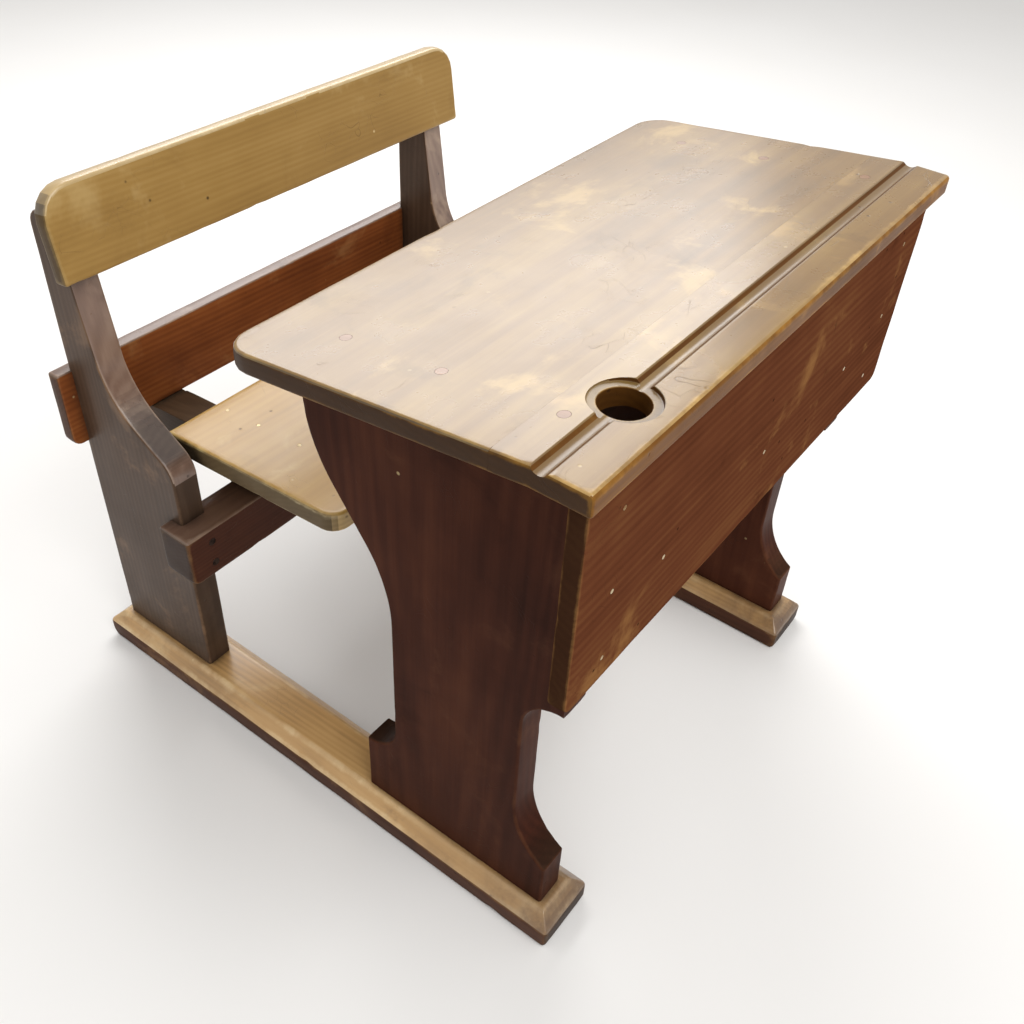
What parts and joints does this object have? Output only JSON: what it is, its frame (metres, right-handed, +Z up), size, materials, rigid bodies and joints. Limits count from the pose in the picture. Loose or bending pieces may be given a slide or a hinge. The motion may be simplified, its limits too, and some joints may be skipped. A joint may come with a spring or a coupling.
{
  "type": "school desk with attached bench",
  "caption": "Single-seat wooden school desk with a sloped top, pen groove, inkwell hole and book shelf, joined by two sledge runners to a bench with a tip-up seat and a leaning backrest.",
  "frame": {"origin": "on the floor, at the middle of the overall width and the overall depth", "axes": "+Z up, -Y the way the seated pupil faces, +X across the desk to the pupil's left"},
  "size_m": [0.65, 0.69, 0.629],
  "materials": {
    "runner_wood": "old varnish, worn to a golden brown on top",
    "end_wood": "dark stained, old varnish",
    "standard_wood": "dark stained, old varnish, rubbed edges",
    "top_wood": "old varnish, ink stains and scratches",
    "panel_wood": "red-brown varnish",
    "shelf_wood": "dull bare wood",
    "backrest_wood": "golden tan, rubbed satin",
    "rail_wood": "red-brown varnish",
    "seat_wood": "golden tan, rubbed satin",
    "bearer_wood": "dark stained, dusty",
    "plug_wood": "varnished with the board",
    "hinge_iron": "dark, lightly rusted",
    "screw_steel": "dull, tarnished",
    "nail_steel": "dull, tarnished"
  },
  "bodies": {
    "frame": {"runner_right": "runner_wood", "runner_left": "runner_wood", "desk_end_right": "end_wood", "desk_end_left": "end_wood", "seat_standard_right": "standard_wood", "seat_standard_left": "standard_wood", "pen_rail": "top_wood", "writing_slope": "top_wood", "front_panel": "panel_wood", "book_shelf": "shelf_wood", "backrest_board": "backrest_wood", "back_rail": "rail_wood", "seat_rail": "rail_wood", "hinge_rail_leaves": "hinge_iron", "hinge_pins": "hinge_iron", "hinge_rail_screws": "screw_steel", "top_plugs": "plug_wood", "top_screws": "screw_steel", "panel_nails": "nail_steel", "shelf_nails": "nail_steel", "backrest_screws": "screw_steel", "back_rail_screws": "screw_steel", "seat_rail_screws": "screw_steel", "runner_screws": "screw_steel"},
    "seat": {"seat_board": "seat_wood", "seat_bearer_right": "bearer_wood", "seat_bearer_left": "bearer_wood", "hinge_seat_leaves": "hinge_iron", "hinge_seat_screws": "screw_steel", "seat_nails": "nail_steel"}
  },
  "joints": [
    {"name": "seat_tip", "type": "hinge", "parent": "frame", "child": "seat", "pos_m": [0, 0.20065, 0.26405], "axis": [-1, 0, 0], "range_deg": [0, 90]}
  ]
}
